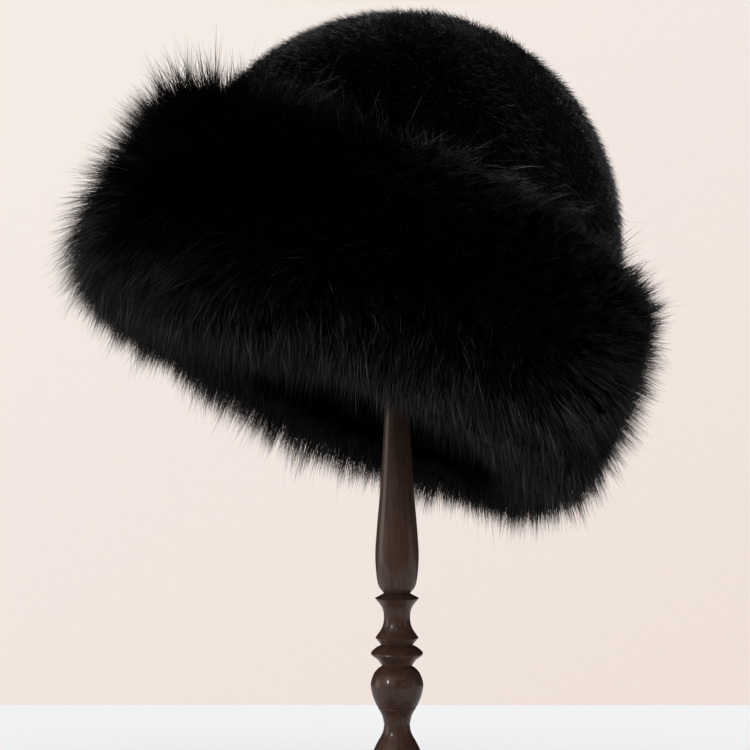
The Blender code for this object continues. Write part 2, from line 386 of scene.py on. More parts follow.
def varnished_beech():
    """Stain by the product of a fine and a coarse noise, roughness and relief by the fine one alone."""
    material, tree, shader = new_material("varnished_stained_beech", {
        "IOR": VARNISH_IOR, "Specular IOR Level": VARNISH_GLOSS,
        "Coat Weight": COAT_WEIGHT, "Coat Roughness": COAT_ROUGHNESS,
    })
    place = add_node(tree, "ShaderNodeTexCoord")
    along = add_node(tree, "ShaderNodeMapping", values={"Scale": (1.0, 1.0, GRAIN_STRETCH)},
                     links={"Vector": place.outputs["Object"]})
    grain = add_node(tree, "ShaderNodeTexNoise",
                     values={"Scale": GRAIN_PER_METRE, "Detail": GRAIN_DETAIL,
                             "Roughness": GRAIN_ROUGHNESS},
                     links={"Vector": along.outputs["Vector"]})
    streaks = add_node(tree, "ShaderNodeTexNoise",
                       values={"Scale": STREAKS_PER_METRE, "Detail": STREAK_DETAIL},
                       links={"Vector": along.outputs["Vector"]})
    both = add_node(tree, "ShaderNodeMath", operation="MULTIPLY",
                    links={0: grain.outputs["Fac"], 1: streaks.outputs["Fac"]})
    ramp = add_node(tree, "ShaderNodeValToRGB", links={"Fac": both.outputs["Value"]})
    dark, light = ramp.color_ramp.elements
    dark.position, dark.color = STAIN_DARK_AT, linear(STAIN_DARK)
    light.position, light.color = STAIN_LIGHT_AT, linear(STAIN_LIGHT)
    tree.links.new(ramp.outputs["Color"], shader.inputs["Base Color"])
    rough = add_node(tree, "ShaderNodeMapRange", values={"To Min": WOOD_SMOOTHEST, "To Max": WOOD_ROUGHEST},
                     links={"Value": grain.outputs["Fac"]})
    tree.links.new(rough.outputs["Result"], shader.inputs["Roughness"])
    bump = add_node(tree, "ShaderNodeBump", values={"Strength": GRAIN_RELIEF, "Distance": GRAIN_DEPTH},
                    links={"Height": grain.outputs["Fac"]})
    tree.links.new(bump.outputs["Normal"], shader.inputs["Normal"])
    return material


beech = varnished_beech()
grain_width = 1000 / GRAIN_PER_METRE
print("beech grain", round(grain_width, 1), "mm wide and", round(grain_width / GRAIN_STRETCH), "mm long")

# %% [markdown]
# ## The post
#
# From below upwards the post has a ring that sits on the foot, a flare, a ball with an incised line
# under it, a ring, a spool, a collar, and a long vase that runs up into the hat. It could be one
# long list of points. The turnings are kept apart by name instead, because each is smooth in itself
# and meets the next in a sharp line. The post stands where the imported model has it, 0.3 mm over the
# foot.

# %% Turn the post
FIT_GAP = 0.0003
POST_TOP_RADIUS = 0.0058
post_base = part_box("stand_foot")[1].z + FIT_GAP
post_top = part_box("stand_post")[1].z

# (radius, height over the post's base) points of each turning, from below upwards
POST_TURNINGS = {
    "base ring": ((0.0178, 0.0000), (0.0190, 0.0035), (0.0178, 0.0070)),
    "flare": ((0.0150, 0.0080), (0.0099, 0.0195), (0.0067, 0.0255), (0.0059, 0.0295)),
    "ball foot": ((0.0059, 0.0295), (0.0068, 0.0335), (0.0088, 0.0373)),
    "incised line": ((0.0088, 0.0373), (0.0087, 0.0377), (0.0093, 0.0381)),
    "ball": (
        (0.0093, 0.0381), (0.0113, 0.0430), (0.0121, 0.0480), (0.0108, 0.0525),
        (0.0090, 0.0549), (0.0068, 0.0565),
    ),
    "ring": ((0.0068, 0.0565), (0.0090, 0.0594), (0.0120, 0.0621), (0.0094, 0.0649), (0.0071, 0.0659)),
    "spool foot": ((0.0071, 0.0659), (0.0099, 0.0694)),
    "spool": ((0.0099, 0.0694), (0.0069, 0.0741), (0.0060, 0.0787), (0.0069, 0.0833), (0.0101, 0.0876)),
    "collar": ((0.0101, 0.0876), (0.0056, 0.0900)),
    "vase": (
        (0.0062, 0.0900), (0.0088, 0.0943), (0.0100, 0.1060), (0.0093, 0.1195),
        (0.0077, 0.1380), (0.0064, 0.1597), (0.0058, 0.1740),
    ),
}


def post_outline():
    """All turnings one after another, then the plain stretch up to the cap."""
    parts = [smooth_through(points, OUTLINE_STEPS) for points in POST_TURNINGS.values()]
    turned = np.vstack(parts) + (0.0, post_base)
    return np.vstack((turned, (POST_TOP_RADIUS, post_top)))


add_piece("turned_post", lathe("turned_post", post_outline()), beech, "dark_wood", "stand_post")
print("post stands from", round(1000 * post_base, 1), "to", round(1000 * post_top, 1), "mm")

# %% [markdown]
# ## The foot and the cap
#
# The foot is a round plate with a hollowed top, wide enough to carry the leaning hat. The cap is a
# low dome inside the crown that the hat hangs on, and nobody sees it. Both are turned as the post
# is. Their outlines could be written in millimetres, but as shares of the size that the packed
# model gives them they can't grow out of it.

# %% Turn the foot and the cap
# (share of the radius, share of the height) points
CAP_DOME = ((0.86, 0.00), (1.00, 0.22), (0.80, 0.60), (0.40, 0.91), (0.02, 1.00))
FOOT_EDGE = ((0.97, 0.00), (1.00, 0.25), (0.95, 0.42))
FOOT_HOLLOW = ((0.90, 0.44), (0.60, 0.55), (0.40, 0.72), (0.33, 1.00))


def share_outline(shares, low, high):
    """An outline in shares, stretched to a node's own radius and to its lowest and highest level."""
    radius = (high.x - low.x) / 2
    return smooth_through(shares, OUTLINE_STEPS) * (radius, high.z - low.z) + (0.0, low.z)


foot_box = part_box("stand_foot")
foot_outline = np.vstack([share_outline(part, *foot_box) for part in (FOOT_EDGE, FOOT_HOLLOW)])
cap_outline = share_outline(CAP_DOME, *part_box("stand_cap"))
add_piece("turned_foot", lathe("turned_foot", foot_outline), beech, "dark_wood", "stand_foot")
add_piece("turned_cap", lathe("turned_cap", cap_outline), beech, "dark_wood", "stand_cap")

# %% [markdown]
# ## The hat's own frame
#
# The hat hangs askew: it leans 25.5 degrees to the viewer's right and 6 degrees back. It is far
# easier to shape it upright, with its height measured from the edge of the head opening, and to
# turn the finished points at the end. So each shape below is worked out upright, and one function
# carries its points into the leaning hat. The lower edge is arched up a little over the brow,
# towards the front right.

# %% Lean the hat
LEAN_TO_RIGHT = math.radians(25.5)
LEAN_BACK = math.radians(6.0)
HAT_CENTRE = np.array((-0.0062, -0.0014, 0.2745))
HAT_DEPTH_RATIO = 1.05
CROWN_WIDEST_HEIGHT = 0.060
CROWN_RADIUS = 0.1057
CROWN_DOME_RISE = 0.1175
OPENING_RADIUS = 0.098
CROWN_WALL = 0.005
BROW_ARCH = 0.010
BROW_TURN = math.radians(-60.0)

lean = np.array(Euler((-LEAN_BACK, LEAN_TO_RIGHT, 0.0)).to_matrix())
opening_centre = HAT_CENTRE - lean @ (0.0, 0.0, CROWN_WIDEST_HEIGHT)
print("head opening's middle, mm:", [round(1000 * value, 1) for value in opening_centre])


def on_hat(radius, height, turn):
    """Upright oval point (r cos v, k r sin v, h), with k the hat's depth over its width."""
    radius, height, turn = np.broadcast_arrays(radius, height, turn)
    return np.stack((radius * np.cos(turn), HAT_DEPTH_RATIO * radius * np.sin(turn), height), axis=-1)


def leaning(points):
    """Upright hat points turned and moved to where the hat hangs."""
    return points @ lean.T + opening_centre


def brow(turn):
    """Share of the brow arch at a turn: the cube of the cosine of the turn from the brow's middle."""
    return np.clip(np.cos(turn - BROW_TURN), 0.0, 1.0) ** 3


def crown_radius(height):
    """Outer radius: above the widest level an ellipse, below it a quarter sine wave in to the opening."""
    rise = np.clip((height - CROWN_WIDEST_HEIGHT) / CROWN_DOME_RISE, 0.0, 1.0)
    drop = np.clip(height, 0.0, CROWN_WIDEST_HEIGHT) / CROWN_WIDEST_HEIGHT
    below = OPENING_RADIUS + (CROWN_RADIUS - OPENING_RADIUS) * np.sin(drop * math.pi / 2)
    return np.where(height >= CROWN_WIDEST_HEIGHT, CROWN_RADIUS * np.sqrt(1.0 - rise ** 2), below)


# %% [markdown]
# ## Black knitted backing
#
# The crown is a knitted backing cloth with a short dense pile on its outer face. The cloth is a
# polyester knit, dyed through, matt and nearly black. Its loops, about 1.5 mm apart, show inside
# the hat as a fine even relief. They could be modelled, but they are deep in shadow, so a Voronoi
# pattern with cells of that size draws them.

# %% Backing cloth
CLOTH_BLACK = "#040404"
LOOP_SPACING = 0.0015
LOOP_DEPTH = 0.0004
LOOP_RELIEF = 0.5
CLOTH_ROUGHNESS = 0.95
CLOTH_GLOSS = 0.05


def knitted_backing():
    """One colour, with a bump that rises with the distance from the middle of each Voronoi cell."""
    material, tree, shader = new_material("black_knitted_backing", {
        "Base Color": linear(CLOTH_BLACK), "Roughness": CLOTH_ROUGHNESS, "Specular IOR Level": CLOTH_GLOSS,
    })
    place = add_node(tree, "ShaderNodeTexCoord")
    loops = add_node(tree, "ShaderNodeTexVoronoi", values={"Scale": 1.0 / LOOP_SPACING},
                     links={"Vector": place.outputs["Object"]})
    bump = add_node(tree, "ShaderNodeBump", values={"Strength": LOOP_RELIEF, "Distance": LOOP_DEPTH},
                    links={"Height": loops.outputs["Distance"]})
    tree.links.new(bump.outputs["Normal"], shader.inputs["Normal"])
    return material


backing = knitted_backing()
print("knit loops", 1000 * LOOP_SPACING, "mm apart")

# %% [markdown]
# ## The crown's cloth
#
# The wall is about 5 mm thick with its pile. A dome with a Solidify modifier would give one too,
# but its lower edge would be square. So the cloth is one closed skin along one path: down the
# inside from the top, round the edge of the opening, and up the outside. The pile hides the outer
# face, which lies 1.5 mm inside the pile's dense surface.

# %% Crown wall
PILE_DEPTH = 0.0015
CROWN_SIDES = 128
CROWN_RINGS = 48
CROWN_LOW_RINGS = 12
FIRST_RING_RISE = math.radians(89.0)
EDGE_STEPS = 7
EDGE_ROUNDING = 0.6


def wall_outline(off):
    """(r, h) down the crown's wall, at a distance inside its outer face, from near its top to its edge.

    The dome is an ellipse by the angle of rise, and below it the radius follows the crown's own.
    """
    rise = np.linspace(FIRST_RING_RISE, 0.0, CROWN_RINGS)
    dome = np.stack(((CROWN_RADIUS - off) * np.cos(rise),
                     CROWN_WIDEST_HEIGHT + (CROWN_DOME_RISE - off) * np.sin(rise)), axis=-1)
    low = np.linspace(CROWN_WIDEST_HEIGHT, 0.0, CROWN_LOW_RINGS)[1:]
    return np.vstack((dome, np.stack((crown_radius(low) - off, low), axis=-1)))


def crown_skin():
    """The wall's path, with half an oval as its lower edge, carried round the hat, arched up in front."""
    inside = wall_outline(CROWN_WALL)
    outside = wall_outline(PILE_DEPTH)[::-1]
    edge_turn = np.linspace(0.0, math.pi, EDGE_STEPS)[1:-1]
    edge_middle = (inside[-1] + outside[0]) / 2
    edge_shape = np.stack((-np.cos(edge_turn), -EDGE_ROUNDING * np.sin(edge_turn)), axis=-1)
    edge = edge_middle + edge_shape * ((outside[0, 0] - inside[-1, 0]) / 2)
    path = np.vstack((inside, edge, outside))
    turn = (np.arange(CROWN_SIDES) * math.tau / CROWN_SIDES)[None, :]
    arch = np.clip(1.0 - path[:, 1:] / CROWN_WIDEST_HEIGHT, 0.0, 1.0) * brow(turn)
    rings = on_hat(path[:, :1], path[:, 1:] + BROW_ARCH * arch, turn)
    top = CROWN_WIDEST_HEIGHT + CROWN_DOME_RISE
    poles = [leaning(on_hat(0.0, top - off, 0.0)) for off in (CROWN_WALL, PILE_DEPTH)]
    return closed_skin("crown_cloth", leaning(rings), *poles)


add_piece("crown_cloth", crown_skin(), backing, "short_pile", "crown")

# %% [markdown]
# ## Hairs as meshes
#
# Blender's own hair curves look well in a render, but they are lost when the model is exported. So
# each hair here is a thin closed spike: a triangle at the root, perhaps one more on the way, and a
# point at the tip. Thousands of them are worked out together as whole arrays and joined into one
# mesh. A number from 0 to 1 is kept for each hair, and another along it, so that the material can
# vary from hair to hair and from root to tip. A real hair is 0.05 to 0.1 mm thick, too fine to
# show. It is drawn three to five times as thick, and there are fewer of them.

# %% Hair mesh
RING_CORNERS = 3
# Added to a hair's turned-about direction, so that the two never point the same way
ASKEW = (0.31, 0.17, 0.53)
TINY = 1e-9


def unit(vectors):
    """Each vector divided by its length."""
    return vectors / np.maximum(np.linalg.norm(vectors, axis=-1, keepdims=True), TINY)


def spike_faces(levels):
    """One spike's face corners in a row, and how many each face has: base, bands, then the point."""
    here = np.arange(RING_CORNERS)
    lower = (np.arange(levels - 2) * RING_CORNERS)[:, None]
    bands = ring_bands(lower, lower + RING_CORNERS, RING_CORNERS)
    last_ring = (levels - 2) * RING_CORNERS
    tip = np.full(RING_CORNERS, last_ring + RING_CORNERS)
    point = np.stack((last_ring + here, last_ring + np.roll(here, -1), tip), axis=-1)
    corners = np.concatenate((here[::-1], bands.ravel(), point.ravel()))
    return corners, np.concatenate(([RING_CORNERS], np.full(bands.size // 4, 4), np.full(len(point), 3)))


def hair_mesh(name, stations, widths, tones):
    """Three-sided spikes along stations (S, N, 3), which are the middle lines of N hairs, root to tip.

    Corner c of the ring at station s is p + r (cos a, sin a) in the plane across the hair, where a is 120 c
    degrees, and r is the width over the square root of 3, which makes each side as long as the width.
    """
    levels, count = stations.shape[:2]
    along = unit(stations[-1] - stations[0])
    across = unit(np.cross(along, np.roll(along, 1, axis=-1) + ASKEW))
    other = np.cross(along, across)
    angle = np.arange(RING_CORNERS) * math.tau / RING_CORNERS
    ring = across[:, None] * np.cos(angle)[:, None] + other[:, None] * np.sin(angle)[:, None]
    rings = stations[:-1, :, None] + ring[None] * (widths / math.sqrt(3))[:, :, None, None]
    per_hair = RING_CORNERS * (levels - 1) + 1
    by_hair = rings.transpose(1, 0, 2, 3).reshape(count, -1, 3)
    points = np.concatenate((by_hair, stations[-1][:, None]), axis=1)
    one_hair, one_sizes = spike_faces(levels)
    corners = (np.arange(count)[:, None] * per_hair + one_hair).ravel()
    mesh = fill_mesh(name, points.reshape(-1, 3), corners, np.tile(one_sizes, count))

    tone = mesh.attributes.new("hair_tone", "FLOAT", "POINT")
    tone.data.foreach_set("value", np.repeat(tones, per_hair).astype(np.float32))
    run = mesh.attributes.new("hair_run", "FLOAT", "POINT")
    one_run = np.append(np.repeat(np.arange(levels - 1) / (levels - 1), RING_CORNERS), 1.0)
    run.data.foreach_set("value", np.tile(one_run, count).astype(np.float32))
    return mesh


for levels, kind in ((2, "straight"), (3, "bent")):
    print("a", kind, "hair has", int((spike_faces(levels)[1] - 2).sum()), "triangles")

# %% [markdown]
# ## Scatter and slow waves
#
# Hairs that are placed by pure chance leave bald spots, and on a grid they show rows. Multiples of
# two irrational steps fill a square evenly and without rows. Fur also sways together in patches, so
# directions follow smooth noise: a sum of sine waves that closes on itself round the hat. Each use
# has its own fixed seed, so that every run gives the same hat.

# %% Scatter and waves
SEEDS = {
    "pile": 11, "pile scatter": 3, "pile swirl": 5, "underfur lumps": 8, "sway": 21, "sway down": 22,
    "top sway": 23, "tufts": 77, "cuff": 31,
}
# The one real number whose cube is itself plus 1. One over it and over its square are the two steps.
PLASTIC_NUMBER = 1.324717957244746
FEWEST_LONG_WAVES = 0.5
ROUND_TO_LONG_WAVES = 3


def even_pairs(count, shift):
    """Evenly scattered pairs in the unit square: multiples of two irrational steps, modulo 1."""
    number = np.arange(count)[:, None] + shift
    return (number * (1 / PLASTIC_NUMBER, 1 / PLASTIC_NUMBER ** 2)) % 1.0


def ripple(along, turn, seed, waves=6, finest=9):
    """Smooth noise, mostly in -1 to 1: a sum of sine waves in the place along the hat and the turn."""
    rng = np.random.default_rng(seed)
    total = np.zeros(np.broadcast(along, turn).shape)
    for _ in range(waves):
        round_waves = rng.integers(1, finest)
        long_waves = rng.uniform(FEWEST_LONG_WAVES, finest / ROUND_TO_LONG_WAVES)
        total += np.sin(round_waves * turn + long_waves * math.tau * along + rng.uniform(0, math.tau))
    return total / waves ** 0.5


sample = ripple(0.5, np.linspace(0.0, math.tau, 360), SEEDS["sway"])
print("half-way down, the sway runs from", round(sample.min(), 2), "to", round(sample.max(), 2))

# %% [markdown]
# ## Black acrylic fibre
#
# Imitation fur is acrylic fibre, dyed black through and through, with an IOR of about 1.5. Its
# surface is smooth, so a hair shows a thin bright line where it faces the light, and nothing
# elsewhere. That line is far finer than a pixel, so it is a painted highlight instead: some hairs
# are drawn in a lighter grey towards their tips, some more than others. Guard hairs gleam most,
# the cut pile less, and the fine hairs between them hardly at all.

# %% Fibre
FIBRE_DEEP = "#030303"
# Painted highlight: the greys that hairs turn towards their tips stand in for their gloss
FIBRE_HIGHLIGHT = "#6c6b6d"
FINE_HIGHLIGHT = "#2c2b2c"
FIBRE_IOR = 1.52


def acrylic_fibre(name, roughness, gloss, light):
    """Colour from the deep dye to a painted highlight's grey, by the hair's number times the place along
    it.
    """
    material, tree, shader = new_material(name, {
        "Roughness": roughness, "IOR": FIBRE_IOR, "Specular IOR Level": gloss,
    })
    tone = add_node(tree, "ShaderNodeAttribute", attribute_name="hair_tone")
    run = add_node(tree, "ShaderNodeAttribute", attribute_name="hair_run")
    share = add_node(tree, "ShaderNodeMath", operation="MULTIPLY",
                     links={0: tone.outputs["Fac"], 1: run.outputs["Fac"]})
    # Painted highlight: from the dye at the root to a lighter grey towards the tip, on some hairs more than
    # others
    ramp = add_node(tree, "ShaderNodeValToRGB", links={"Fac": share.outputs["Value"]})
    ramp.color_ramp.elements[0].color = linear(FIBRE_DEEP)
    ramp.color_ramp.elements[1].color = linear(light)
    tree.links.new(ramp.outputs["Color"], shader.inputs["Base Color"])
    return material


guard_fibre = acrylic_fibre("black_acrylic_guard_hair", roughness=0.38, gloss=0.50, light=FIBRE_HIGHLIGHT)
fine_fibre = acrylic_fibre("black_acrylic_fine_hair", roughness=0.50, gloss=0.10, light=FINE_HIGHLIGHT)
short_fibre = acrylic_fibre("black_acrylic_cut_pile", roughness=0.45, gloss=0.38, light=FIBRE_HIGHLIGHT)
print("fibres:", ", ".join(fibre.name for fibre in (guard_fibre, fine_fibre, short_fibre)))

# %% [markdown]
# ## The crown's pile
#
# The pile is cut short, about 7 mm from the cloth, and brushed, so that its hairs lie over at a
# slant. Seen against the wall it is a soft, slightly uneven edge. A bump could draw its face, but
# not that edge. Each hair is one straight spike, because at that length nobody sees it bend. The
# roots are scattered evenly over the dome, by the sine of their angle of rise, and the slant
# follows a slow ripple.

# %% Grow the pile
PILE_HAIRS = 34000
PILE_LENGTH = 0.0070
PILE_SHORTEST, PILE_LONGEST = 0.6, 1.15
PILE_WIDTH = 0.00029
PILE_THINNEST = 0.8
PILE_THICKER = 0.6
# The sine of the lowest roots' angle of rise
PILE_LOWEST = 0.15
# How far hairs lie over, how far their slant turns with their neighbours' and alone, and their stray
PILE_SLANT = 1.6
PILE_SWIRL = 1.1
PILE_SWIRL_STRAY = 0.45
PILE_STRAY = 0.30
PILE_TONE_POWER = 4
# Keeps the slant's direction from vanishing at the very top of the dome
NUDGE = (1e-6, 0.0, 0.0)


def dome_outward(root):
    """Direction straight out of the dome's face: each coordinate over the square of its own half axis."""
    flat = root * (1.0, 1.0 / HAT_DEPTH_RATIO ** 2, 0.0)
    up = (root - (0, 0, CROWN_WIDEST_HEIGHT)) * (0.0, 0.0, (CROWN_RADIUS / CROWN_DOME_RISE) ** 2)
    return unit(flat + up)


def crown_pile():
    """Straight hairs: a tip is its root plus the length times the direction of three ways added up.

    They are the way out of the face, the slant along it, which the swirl turns, and a stray.
    """
    rng = np.random.default_rng(SEEDS["pile"])
    pairs = even_pairs(PILE_HAIRS, SEEDS["pile scatter"])
    rise = np.arcsin(PILE_LOWEST + (1.0 - PILE_LOWEST) * pairs[:, 0])
    turn = math.tau * pairs[:, 1]
    root = on_hat((CROWN_RADIUS - PILE_DEPTH) * np.maximum(np.cos(rise), 0.0),
                  CROWN_WIDEST_HEIGHT + (CROWN_DOME_RISE - PILE_DEPTH) * np.sin(rise), turn)
    outward = dome_outward(root)
    down = unit(np.cross(outward, np.cross(outward, (0.0, 0.0, 1.0)) + NUDGE))
    side = np.cross(outward, down)
    swirl = PILE_SWIRL * ripple(pairs[:, 0], turn, SEEDS["pile swirl"])
    swirl = (swirl + rng.normal(0.0, PILE_SWIRL_STRAY, PILE_HAIRS))[:, None]
    lie = down * np.cos(swirl) + side * np.sin(swirl)
    stray = rng.normal(0.0, PILE_STRAY, (PILE_HAIRS, 3))
    length = PILE_LENGTH * rng.uniform(PILE_SHORTEST, PILE_LONGEST, PILE_HAIRS)
    tip = root + unit(outward + PILE_SLANT * lie + stray) * length[:, None]
    # The hair's number sets how thick it is and how strongly its painted highlight shows
    tone = rng.uniform(0.0, 1.0, PILE_HAIRS) ** PILE_TONE_POWER
    widths = PILE_WIDTH * (PILE_THINNEST + PILE_THICKER * tone[None])
    return hair_mesh("crown_pile", leaning(np.stack((root, tip))), widths, tone)


add_piece("crown_pile", crown_pile(), short_fibre, "short_pile")
print("pile hairs are about", 1000 * PILE_LENGTH, "mm long and", round(1000 * PILE_WIDTH, 2), "mm thick")

# %% [markdown]
# ## The cuff's two curves
#
# Two curves run down the cuff side by side: the core, a few millimetres out from the crown's wall,
# where the hairs that show are rooted, and the line that their tips reach, which follows the
# photograph's outline. Hairs could be grown straight out of the crown, but most of their length
# would be hidden. Every place on the cuff is then two numbers: a share from 0 at the top edge to 1
# at the inner lower edge, and a turn round the hat.

# %% Cuff curves
# columns: core height, core depth over the crown's wall, tip height, tip radius
CUFF_STATIONS = (
    (0.090, 0.0000, 0.105, 0.1090),
    (0.088, 0.0074, 0.101, 0.1210),
    (0.080, 0.0119, 0.091, 0.1300),
    (0.068, 0.0136, 0.073, 0.1355),
    (0.052, 0.0146, 0.051, 0.1385),
    (0.036, 0.0158, 0.028, 0.1395),
    (0.020, 0.0160, 0.006, 0.1370),
    (0.008, 0.0132, -0.011, 0.1285),
    (0.001, 0.0075, -0.024, 0.1150),
    (-0.002, 0.0000, -0.028, 0.1030),
    (-0.002, -0.0040, -0.022, 0.0920),
    (0.000, -0.0052, -0.010, 0.0860),
)
CUFF_STEPS = 24
BROW_FROM, BROW_OVER = 0.40, 0.45
CORNER_SHARE = 0.07
CORNER_SIZE = 0.10
CORNER_DROP = 0.006

core_height, core_depth, tip_height, tip_radius = smooth_through(CUFF_STATIONS, CUFF_STEPS).T
core_radius = crown_radius(core_height) + FIT_GAP + core_depth
walked = np.concatenate(([0.0], np.cumsum(np.hypot(np.diff(tip_radius), np.diff(tip_height)))))
cuff_share = walked / walked[-1]
print("cuff measures", round(1000 * walked[-1]), "mm along its tips, from top to lower edge")


def rising(value, start, over):
    """0 up to a start, then a straight rise to 1 over a stretch, and 1 from there on."""
    return np.clip((value - start) / over, 0.0, 1.0)


def brow_lift(share, turn):
    """How far the lower edge is arched up over the brow: a smooth step down the cuff times the arch."""
    low = rising(share, BROW_FROM, BROW_OVER)
    return BROW_ARCH * low ** 2 * (3.0 - 2.0 * low) * brow(turn)


def left_part(turn):
    """How far a turn points left, the side that leans up: the root of minus its cosine, from 0 up."""
    return np.sqrt(np.maximum(-np.cos(turn), 0.0))


def corner_part(share, turn):
    """How much a place belongs to the upper left corner: a bell curve down the cuff, times left."""
    return np.exp(-((share - CORNER_SHARE) / CORNER_SIZE) ** 2) * left_part(turn)


def cuff_core(share, turn):
    """Upright point on the core at a share of the way down the cuff, a little lower in the corner."""
    height = np.interp(share, cuff_share, core_height) + brow_lift(share, turn)
    height = height - CORNER_DROP * corner_part(share, turn)
    return on_hat(np.interp(share, cuff_share, core_radius), height, turn)


def cuff_reach(share, turn):
    """Upright point on the line of the tips at a share of the way down the cuff."""
    height = np.interp(share, cuff_share, tip_height) + brow_lift(share, turn)
    return on_hat(np.interp(share, cuff_share, tip_radius), height, turn)


# %% [markdown]
# ## The cuff's under-fur
#
# Below the long hairs lies a dense layer of fine short ones, too close to tell apart. Hundreds of
# thousands of spikes could fill it. One closed body with a lumpy face does the same, because
# nothing shows through it and it lies in the shade. Its face lies about two fifths of the way from
# the core to the tips, and less in the upper left corner, where the fur frays. It reflects almost
# nothing.

# %% Under-fur body
UNDERFUR_FROM, UNDERFUR_TO = 0.02, 0.90
UNDERFUR_SHARE = 0.40
UNDERFUR_LUMPS = 0.05
UNDERFUR_EASE = 0.12
UNDERFUR_CORNER_CUT = 0.8
UNDERFUR_SIDES = 180
UNDERFUR_ROWS = 60
BACK_LOW, BACK_HIGH = -0.001, 0.088
BACK_ROWS = 12


def cuff_underfur():
    """Rings up the crown's wall, then down a face that is a share of the way from the core to the tips.

    The share is a constant plus the ripple, times a quarter sine wave at the top edge, and it is cut
    back in the corner.
    """
    turn = (np.arange(UNDERFUR_SIDES) * math.tau / UNDERFUR_SIDES)[None, :]
    share = np.linspace(UNDERFUR_FROM, UNDERFUR_TO, UNDERFUR_ROWS)[:, None]
    lumps = ripple(share, turn, SEEDS["underfur lumps"], waves=14, finest=26)
    lumps = UNDERFUR_SHARE + UNDERFUR_LUMPS * lumps
    lumps = lumps * np.sin(rising(share, 0.0, UNDERFUR_EASE) * math.pi / 2)
    lumps = lumps * (1.0 - UNDERFUR_CORNER_CUT * corner_part(share, turn))
    core = cuff_core(share, turn)
    outer = core + (cuff_reach(share, turn) - core) * lumps[..., None]
    height = np.linspace(BACK_LOW, BACK_HIGH, BACK_ROWS)[:, None]
    up = (height - BACK_LOW) / (BACK_HIGH - BACK_LOW)
    height = height + brow_lift(1.0 - up, turn) - CORNER_DROP * up * left_part(turn)
    back = on_hat(crown_radius(height) + FIT_GAP, height, turn)
    return leaning(np.concatenate((back, outer)))


def closed_ring(name, rings):
    """A closed ring-shaped skin: four-sided faces from each ring to the next, and from last to first."""
    count, sides = rings.shape[:2]
    lower = (np.arange(count) * sides)[:, None]
    bands = ring_bands(lower, np.roll(lower, -1, axis=0), sides)
    return fill_mesh(name, rings.reshape(-1, 3), bands.ravel(), np.full(bands.size // 4, 4))


def dense_underfur():
    """The deep dye alone, fully rough and without gloss."""
    values = {"Base Color": linear(FIBRE_DEEP), "Roughness": 1.0, "Specular IOR Level": 0.0}
    return new_material("dense_black_underfur", values)[0]


underfur_mesh = closed_ring("cuff_underfur", cuff_underfur())
add_piece("cuff_underfur", underfur_mesh, dense_underfur(), "long_fur", "fur_cuff")

# %% [markdown]
# ## Tufts
#
# Long loose fur gathers into tufts at its tips, small ones inside larger ones. A hair system with
# clumping could do this, but its hairs wouldn't be in the exported mesh. Here a table of cells is
# laid over the cuff in three sizes. Each cell has its own middle, lean and length. A hair's tip is
# drawn towards the middle of each cell that its root falls in, and leans with it. All layers of
# hair share these tables, so that they gather together.

# %% Gather into tufts
# columns: tufts round the cuff, tufts down it, how far hairs are drawn to their tuft's middle,
# how far lengths differ, how far a tuft leans its own way in radians
TUFT_SIZES = (
    (44, 11, 0.20, 0.06, 0.010),
    (110, 26, 0.35, 0.10, 0.030),
    (310, 66, 0.50, 0.10, 0.022),
)
TUFT_MARGIN = 0.15
LEAN_DOWN = 0.6


def gathered(share, turn, pull):
    """Share and turn, drawn to the middle of each tuft that they are in, a length, and the tufts' numbers.

    A place moves by the way to the middle times the draw and its own pull, plus the tuft's lean. The
    length is a product over the sizes: 1 plus or minus what the tufts of that size differ by.
    """
    rng = np.random.default_rng(SEEDS["tufts"])
    length = np.ones(share.shape)
    numbers = []
    for tufts_round, tufts_down, draw, differ, lean_most in TUFT_SIZES:
        own = rng.uniform(0.0, 1.0, (5, tufts_down, tufts_round))
        row = np.clip((share * tufts_down).astype(int), 0, tufts_down - 1)
        column = np.floor(turn / math.tau * tufts_round).astype(int)
        off_share, off_turn, number, lean_share, lean_turn = own[:, row, column % tufts_round]
        middle_share = (row + TUFT_MARGIN + (1.0 - 2 * TUFT_MARGIN) * off_share) / tufts_down
        middle_turn = (column + TUFT_MARGIN + (1.0 - 2 * TUFT_MARGIN) * off_turn) / tufts_round * math.tau
        lean_down = LEAN_DOWN * lean_most * (2.0 * lean_share - 1.0)
        share = share + (middle_share - share) * draw * pull + lean_down
        turn = turn + (middle_turn - turn) * draw * pull + lean_most * (2.0 * lean_turn - 1.0)
        length = length * (1.0 + differ * (2.0 * number - 1.0))
        numbers.append(number)
    return share, turn, length, numbers


finest_round, finest_down = TUFT_SIZES[-1][:2]
print("finest tufts", round(1000 * math.tau * tip_radius.max() / finest_round, 1), "mm wide and",
      round(1000 * walked[-1] / finest_down, 1), "mm high")

# %% [markdown]
# ## How long the fur is, from place to place
#
# The cuff's lower edge isn't cut level: it hangs longest behind, shortest at the sides, and a
# longer sweep hangs at the front left. Above it the fur is a little longer on the left than on the
# right. Sculpting would give that once, but not for every hair. So each difference is a named
# amount, times how much a place belongs to that side. Two parts of the top edge fray on their own:
# the corner on the left, and a ridge at the front right, where single wisps catch the light.

# %% Length by place
LOWER_FROM, LOWER_OVER = 0.60, 0.25
# How much longer the fur of the lower part is on each side, and below 0 how much shorter. What the
# first adds behind, it takes away in front.
LOWER_BEHIND = 0.18
LOWER_FAR_BEHIND = 0.10
LOWER_SIDES = -0.19
LOWER_RIGHT_BEHIND = -0.38
LOWER_LEFT = -0.10
LOWER_LEFT_FRONT = 0.85
# The same for the fur above it
UPPER_RIGHT = -0.10
UPPER_LEFT = 0.13
TOP_SIZE = 0.10
RIDGE_FROM, RIDGE_OVER = -0.5, 1.0


def lower_part(share):
    """How much a place belongs to the lower part of the cuff: a straight rise with the share."""
    return rising(share, LOWER_FROM, LOWER_OVER)


def top_part(share):
    """How much a place belongs to the top edge: it falls off exponentially down the cuff."""
    return np.exp(-share / TOP_SIZE)


